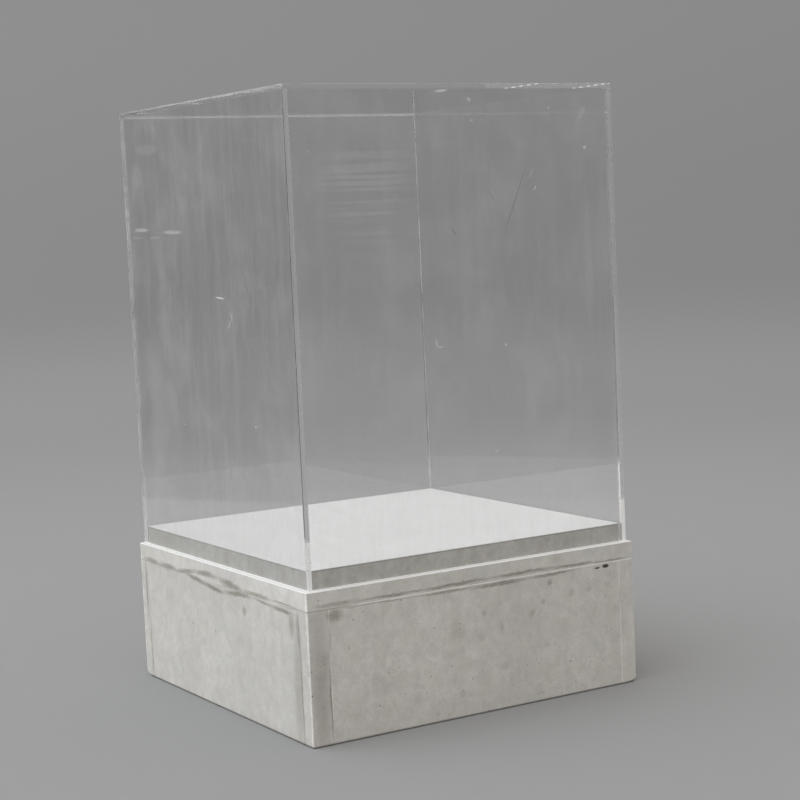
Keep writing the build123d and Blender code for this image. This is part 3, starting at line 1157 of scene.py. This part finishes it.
wearLook = {
    "deep": [
        ((1, 1, -1), 3.0), ((1, 0.4, -1.2), 3.0), ((0.4, 1, -1.2), 3.0),
        ((1, 1, -0.35), 1.3), ((1, 0.5, -0.4), 1.5),
    ],
    "light": [((1, 1, -1), 1.5), ((1, 1, -0.3), 0.8), ((0.5, 1, -0.8), 1.4)],
    "posts": {
        "post_back_left": "deep", "post_front_right": "deep",
        "post_front_left": "light", "post_back_right": "light",
    },
}


def wearPost(node, cuts):
    low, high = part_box(node)
    side = [1 if low[axis] > 0 else -1 for axis in range(3)]
    corner = Vector((low[0] if side[0] < 0 else high[0], low[1] if side[1] < 0 else high[1], 0))
    # a copy of the CAD post, dressed as it is, stands in for it
    post = bpy.data.objects.new(node + "_worn", cadNodes[node].data.copy())
    bpy.context.scene.collection.objects.link(post)
    bpy.ops.object.select_all(action="DESELECT")
    post.select_set(True)
    bpy.context.view_layer.objects.active = post
    bpy.ops.object.mode_set(mode="EDIT")
    bpy.ops.mesh.select_all(action="SELECT")
    bpy.ops.mesh.remove_doubles(threshold=0.001 * mm)
    for way, depth in cuts:
        normal = Vector((way[0] * side[0], way[1] * side[1], way[2])).normalized()
        bpy.ops.mesh.select_all(action="SELECT")
        bpy.ops.mesh.bisect(
            plane_co=corner - normal * depth * mm, plane_no=normal, use_fill=True, clear_outer=True,
        )
    bpy.ops.mesh.select_all(action="SELECT")
    bpy.ops.mesh.normals_make_consistent(inside=False)
    bpy.ops.object.mode_set(mode="OBJECT")
    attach(post, "base")
    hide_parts(node)


for node, amount in wearLook["posts"].items():
    wearPost(node, wearLook[amount])
print("worn posts ready")


# A bead of filler in the seam under the deck, clean in places and grimy in others


beadLook = {
    "half": 188.86,          # the bead's outer reach in millimetres, a little inside the boards' faces
    "inner": 187.9,
    "low": 127.35,
    "high": 128.65,
    "rounding": 0.35,
    "pale": (0.88, 0.87, 0.84, 1.0),
    "grimy": (0.40, 0.385, 0.35, 1.0),
    "cleanFront": (-150, -130),                    # to the right of here the front bead is clean
    "cleanLeft": ((-158, -112), (-13, 44)),        # and on these stretches the left one is paler
    "leftShare": 0.55,
    "otherShare": 0.8,
    "patchGrain": (24.0, 3.0),
    "grit": 0.25,
    "gritGrain": (500.0, 3.0),
    "roughness": (0.55, 0.8),
    "bump": (0.4, 0.0003),
}


def beadMaterial():
    look = beadLook
    material, tree, place = newMaterial("seamBead")
    parts = apart(tree, place)
    front = below(tree, parts[1], -187)
    left = below(tree, parts[0], -187)
    cleanFront = times(tree, front, ramp(tree, parts[0], *[x * mm for x in look["cleanFront"]]))
    stretches = [band(tree, parts[1], y0 * mm, y1 * mm, 6 * mm) for y0, y1 in look["cleanLeft"]]
    cleanLeft = times(tree, left, plus(tree, *stretches), look["leftShare"])
    patches = ramp(tree, noise(tree, place, *look["patchGrain"]), 0.46, 0.58)
    unseen = calc(tree, "SUBTRACT", 1.0, calc(tree, "MAXIMUM", front, left))
    cleanOther = times(tree, patches, unseen, look["otherShare"])
    clean = calc(tree, "MAXIMUM", cleanFront, calc(tree, "MAXIMUM", cleanLeft, cleanOther))
    grit = noise(tree, place, *look["gritGrain"])
    colour = mixColour(tree, clean, look["grimy"], look["pale"])
    colour = toned(tree, colour, swing(tree, grit, look["grit"]))
    roughness = ramp(tree, grit, 0.2, 0.8, *look["roughness"])
    finishSolid(tree, colour, roughness, grit, *look["bump"])
    return material



def makeBead():
    half, inner = beadLook["half"], beadLook["inner"]
    low, high = beadLook["low"], beadLook["high"]

    def onRim(end):
        outer = max(abs(end[0]), abs(end[1])) > half - 0.01
        return outer and min(abs(end[2] - low), abs(end[2] - high)) < 0.01

    ring = newCube((-half, -half, low), (half, half, high))
    ring.name = "seam_bead"
    bpy.ops.object.mode_set(mode="EDIT")
    bpy.ops.mesh.select_mode(type="FACE")
    bpy.ops.mesh.select_all(action="DESELECT")
    bpy.ops.object.mode_set(mode="OBJECT")
    for face in ring.data.polygons:
        face.select = abs(face.normal.z) > 0.9
    bpy.ops.object.mode_set(mode="EDIT")
    bpy.ops.mesh.inset(thickness=(half - inner) * mm, use_individual=True)
    bpy.ops.mesh.bridge_edge_loops()
    bpy.ops.object.mode_set(mode="OBJECT")
    selectEdges(ring, onRim)
    bpy.ops.mesh.bevel(offset=beadLook["rounding"] * mm, segments=2)
    bpy.ops.object.mode_set(mode="OBJECT")
    ring.data.materials.append(beadMaterial())
    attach(ring, "base")


makeBead()
print("bead ready")
